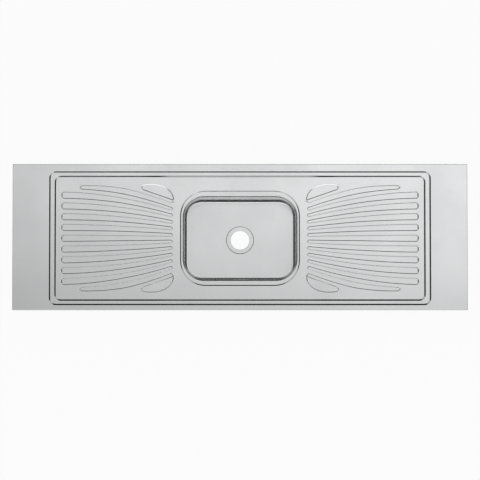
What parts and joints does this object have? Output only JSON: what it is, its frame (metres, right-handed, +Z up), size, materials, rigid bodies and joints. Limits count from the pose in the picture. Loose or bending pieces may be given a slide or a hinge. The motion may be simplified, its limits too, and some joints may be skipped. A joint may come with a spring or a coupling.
{
  "type": "kitchen sink with drainboards",
  "caption": "Stainless steel sink top with a rectangular bowl in the middle, a fluted drainboard on each side, plain wings at both ends, and swing clips on studs underneath.",
  "frame": {"origin": "middle of the outline, level with the underside of the pad below the bowl", "axes": "+X along the sink to the right, +Y to the rear edge, +Z up"},
  "size_m": [1.6, 0.514, 0.1648],
  "materials": {
    "stainless": "satin polished stainless steel",
    "galvanised": "hot-dip galvanised, faint spangle",
    "chipboard": "raw moisture-resistant chipboard",
    "bitumen": "matt bitumen felt",
    "foam": "closed-cell foam tape",
    "zinc": "bright zinc plated"
  },
  "bodies": {
    "sink_top": {"deck": "stainless", "bowl": "stainless", "front_rail": "galvanised", "rear_rail": "galvanised", "left_rail": "galvanised", "right_rail": "galvanised", "front_left_gusset": "galvanised", "rear_left_gusset": "galvanised", "front_right_gusset": "galvanised", "rear_right_gusset": "galvanised", "left_inner_cross_channel": "galvanised", "left_outer_cross_channel": "galvanised", "right_inner_cross_channel": "galvanised", "right_outer_cross_channel": "galvanised", "left_drainer_backing": "chipboard", "right_drainer_backing": "chipboard", "left_wing_backing": "chipboard", "right_wing_backing": "chipboard", "floor_pad": "bitumen", "left_wall_pad": "bitumen", "right_wall_pad": "bitumen", "front_wall_pad": "bitumen", "rear_wall_pad": "bitumen", "front_seal": "foam", "rear_seal": "foam", "left_seal": "foam", "right_seal": "foam", "front_stud_1": "zinc", "front_stud_2": "zinc", "front_stud_3": "zinc", "front_stud_4": "zinc", "rear_stud_1": "zinc", "rear_stud_2": "zinc", "rear_stud_3": "zinc", "rear_stud_4": "zinc"},
    "front_clip_1_swing": {"front_clip_1": "zinc"},
    "front_wing_nut_1_turn": {"front_wing_nut_1": "zinc"},
    "front_clip_2_swing": {"front_clip_2": "zinc"},
    "front_wing_nut_2_turn": {"front_wing_nut_2": "zinc"},
    "front_clip_3_swing": {"front_clip_3": "zinc"},
    "front_wing_nut_3_turn": {"front_wing_nut_3": "zinc"},
    "front_clip_4_swing": {"front_clip_4": "zinc"},
    "front_wing_nut_4_turn": {"front_wing_nut_4": "zinc"},
    "rear_clip_1_swing": {"rear_clip_1": "zinc"},
    "rear_wing_nut_1_turn": {"rear_wing_nut_1": "zinc"},
    "rear_clip_2_swing": {"rear_clip_2": "zinc"},
    "rear_wing_nut_2_turn": {"rear_wing_nut_2": "zinc"},
    "rear_clip_3_swing": {"rear_clip_3": "zinc"},
    "rear_wing_nut_3_turn": {"rear_wing_nut_3": "zinc"},
    "rear_clip_4_swing": {"rear_clip_4": "zinc"},
    "rear_wing_nut_4_turn": {"rear_wing_nut_4": "zinc"}
  },
  "joints": [
    {"name": "front_clip_1_pivot", "type": "hinge", "parent": "sink_top", "child": "front_clip_1_swing", "pos_m": [-0.6895, -0.212, 0.10125], "axis": [0, 0, 1], "range_deg": [0, 90]},
    {"name": "front_wing_nut_1_spin", "type": "hinge", "parent": "sink_top", "child": "front_wing_nut_1_turn", "pos_m": [-0.6895, -0.212, 0.0967], "axis": [0, 0, 1], "continuous": true},
    {"name": "front_clip_2_pivot", "type": "hinge", "parent": "sink_top", "child": "front_clip_2_swing", "pos_m": [-0.241, -0.212, 0.10125], "axis": [0, 0, 1], "range_deg": [0, 90]},
    {"name": "front_wing_nut_2_spin", "type": "hinge", "parent": "sink_top", "child": "front_wing_nut_2_turn", "pos_m": [-0.241, -0.212, 0.0967], "axis": [0, 0, 1], "continuous": true},
    {"name": "front_clip_3_pivot", "type": "hinge", "parent": "sink_top", "child": "front_clip_3_swing", "pos_m": [0.241, -0.212, 0.10125], "axis": [0, 0, -1], "range_deg": [0, 90]},
    {"name": "front_wing_nut_3_spin", "type": "hinge", "parent": "sink_top", "child": "front_wing_nut_3_turn", "pos_m": [0.241, -0.212, 0.0967], "axis": [0, 0, 1], "continuous": true},
    {"name": "front_clip_4_pivot", "type": "hinge", "parent": "sink_top", "child": "front_clip_4_swing", "pos_m": [0.6895, -0.212, 0.10125], "axis": [0, 0, -1], "range_deg": [0, 90]},
    {"name": "front_wing_nut_4_spin", "type": "hinge", "parent": "sink_top", "child": "front_wing_nut_4_turn", "pos_m": [0.6895, -0.212, 0.0967], "axis": [0, 0, 1], "continuous": true},
    {"name": "rear_clip_1_pivot", "type": "hinge", "parent": "sink_top", "child": "rear_clip_1_swing", "pos_m": [-0.6895, 0.212, 0.10125], "axis": [0, 0, -1], "range_deg": [0, 90]},
    {"name": "rear_wing_nut_1_spin", "type": "hinge", "parent": "sink_top", "child": "rear_wing_nut_1_turn", "pos_m": [-0.6895, 0.212, 0.0967], "axis": [0, 0, 1], "continuous": true},
    {"name": "rear_clip_2_pivot", "type": "hinge", "parent": "sink_top", "child": "rear_clip_2_swing", "pos_m": [-0.241, 0.212, 0.10125], "axis": [0, 0, -1], "range_deg": [0, 90]},
    {"name": "rear_wing_nut_2_spin", "type": "hinge", "parent": "sink_top", "child": "rear_wing_nut_2_turn", "pos_m": [-0.241, 0.212, 0.0967], "axis": [0, 0, 1], "continuous": true},
    {"name": "rear_clip_3_pivot", "type": "hinge", "parent": "sink_top", "child": "rear_clip_3_swing", "pos_m": [0.241, 0.212, 0.10125], "axis": [0, 0, 1], "range_deg": [0, 90]},
    {"name": "rear_wing_nut_3_spin", "type": "hinge", "parent": "sink_top", "child": "rear_wing_nut_3_turn", "pos_m": [0.241, 0.212, 0.0967], "axis": [0, 0, 1], "continuous": true},
    {"name": "rear_clip_4_pivot", "type": "hinge", "parent": "sink_top", "child": "rear_clip_4_swing", "pos_m": [0.6895, 0.212, 0.10125], "axis": [0, 0, 1], "range_deg": [0, 90]},
    {"name": "rear_wing_nut_4_spin", "type": "hinge", "parent": "sink_top", "child": "rear_wing_nut_4_turn", "pos_m": [0.6895, 0.212, 0.0967], "axis": [0, 0, 1], "continuous": true}
  ]
}
